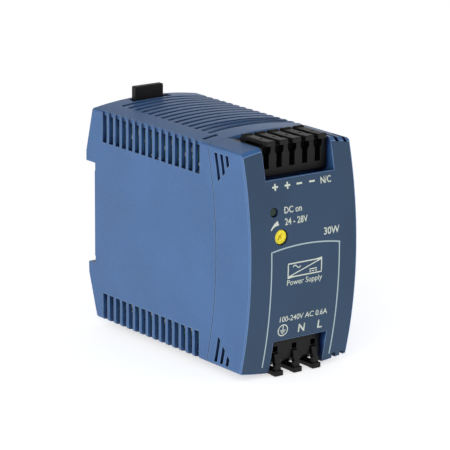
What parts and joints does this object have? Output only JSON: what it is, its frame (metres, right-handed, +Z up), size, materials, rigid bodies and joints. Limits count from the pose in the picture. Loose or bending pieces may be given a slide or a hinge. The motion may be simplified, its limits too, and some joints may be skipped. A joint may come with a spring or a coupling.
{
  "type": "din rail power supply",
  "caption": "Slim plastic DIN rail power supply with a bowed front, vented case, lever terminals at top and bottom, a trimmer and a spring latch.",
  "frame": {"origin": "centre of the flat rear face that rests on the front of the rail, at mid width", "axes": "+Y out of the rear face towards the rail and the panel, the front looks along -Y, +X to the right seen from the front, +Z up"},
  "size_m": [0.045, 0.0962, 0.0846],
  "materials": {
    "case_plastic": "fine matte moulded",
    "face_foil": "satin printed foil",
    "black_plastic": "satin moulded",
    "pin_steel": "ground",
    "spring_steel": "bright rolled",
    "tinned_copper": "tinned",
    "board_laminate": "glass-fibre laminate with green mask",
    "led_lens": "clear tinted",
    "led_chip": "gloss",
    "trimmer_yellow": "satin",
    "trimmer_housing": "satin",
    "ferrite": "sintered",
    "bobbin_plastic": "satin",
    "winding": "taped copper wire",
    "capacitor_can": "shrink sleeve over an aluminium can",
    "film_box": "gloss",
    "choke_ring": "painted",
    "choke_wire": "enamelled copper",
    "fuse_case": "gloss",
    "varistor_coat": "gloss",
    "disc_coat": "gloss",
    "heatsink_metal": "mill finish",
    "chip_moulding": "moulded epoxy"
  },
  "bodies": {
    "case": {"housing_shell": "case_plastic", "front_cover": "case_plastic", "front_label": "face_foil", "latch_spring": "spring_steel", "output_terminal_block": "black_plastic", "input_terminal_block": "black_plastic", "output_lever_axle": "pin_steel", "input_lever_axle": "pin_steel", "output_contact_bars": "tinned_copper", "input_contact_bars": "tinned_copper", "output_clamp_springs": "spring_steel", "input_clamp_springs": "spring_steel", "front_board": "board_laminate", "led_light_pipe": "led_lens", "status_led": "led_chip", "trimmer_body": "trimmer_housing", "main_board": "board_laminate", "board_header": "black_plastic", "transformer_core": "ferrite", "transformer_bobbin": "bobbin_plastic", "transformer_winding": "winding", "bulk_capacitor": "capacitor_can", "output_capacitors": "capacitor_can", "x_capacitor": "film_box", "choke_core": "choke_ring", "choke_windings": "choke_wire", "fuse_link": "fuse_case", "varistor": "varistor_coat", "y_capacitor": "disc_coat", "bridge_rectifier": "chip_moulding", "primary_heatsink": "heatsink_metal", "switching_transistor": "chip_moulding", "output_heatsink": "heatsink_metal", "output_diode": "chip_moulding", "optocoupler": "chip_moulding", "smd_components": "led_chip"},
    "latch": {"latch_slider": "black_plastic"},
    "trimmer": {"trimmer_rotor": "trimmer_yellow"},
    "output_lever_1": {"output_lever_1": "black_plastic"},
    "output_lever_2": {"output_lever_2": "black_plastic"},
    "output_lever_3": {"output_lever_3": "black_plastic"},
    "output_lever_4": {"output_lever_4": "black_plastic"},
    "output_lever_5": {"output_lever_5": "black_plastic"},
    "input_lever_1": {"input_lever_1": "black_plastic"},
    "input_lever_2": {"input_lever_2": "black_plastic"},
    "input_lever_3": {"input_lever_3": "black_plastic"}
  },
  "joints": [
    {"name": "latch_slide", "type": "slide", "parent": "case", "child": "latch", "axis": [0, 0, -1], "range_m": [0, 0.0035], "stiffness_N_per_m": 1500, "springref_m": -0.001, "deforming": ["latch_spring"]},
    {"name": "trimmer_turn", "type": "hinge", "parent": "case", "child": "trimmer", "pos_m": [-0.0093, -0.08, 0.0088], "axis": [0, 1, 0], "range_deg": [-20, 220]},
    {"name": "output_lever_1_lift", "type": "hinge", "parent": "case", "child": "output_lever_1", "pos_m": [-0.01095, -0.0735, 0.0374], "axis": [-1, 0, 0], "range_deg": [0, 80]},
    {"name": "output_lever_2_lift", "type": "hinge", "parent": "case", "child": "output_lever_2", "pos_m": [-0.0056, -0.0735, 0.0374], "axis": [-1, 0, 0], "range_deg": [0, 80]},
    {"name": "output_lever_3_lift", "type": "hinge", "parent": "case", "child": "output_lever_3", "pos_m": [-0.00025, -0.0735, 0.0374], "axis": [-1, 0, 0], "range_deg": [0, 80]},
    {"name": "output_lever_4_lift", "type": "hinge", "parent": "case", "child": "output_lever_4", "pos_m": [0.0051, -0.0735, 0.0374], "axis": [-1, 0, 0], "range_deg": [0, 80]},
    {"name": "output_lever_5_lift", "type": "hinge", "parent": "case", "child": "output_lever_5", "pos_m": [0.01045, -0.0735, 0.0374], "axis": [-1, 0, 0], "range_deg": [0, 80]},
    {"name": "input_lever_1_lift", "type": "hinge", "parent": "case", "child": "input_lever_1", "pos_m": [-0.0071, -0.0742, -0.0369], "axis": [1, 0, 0], "range_deg": [0, 80]},
    {"name": "input_lever_2_lift", "type": "hinge", "parent": "case", "child": "input_lever_2", "pos_m": [0.00085, -0.0742, -0.0369], "axis": [1, 0, 0], "range_deg": [0, 80]},
    {"name": "input_lever_3_lift", "type": "hinge", "parent": "case", "child": "input_lever_3", "pos_m": [0.0088, -0.0742, -0.0369], "axis": [1, 0, 0], "range_deg": [0, 80]}
  ]
}
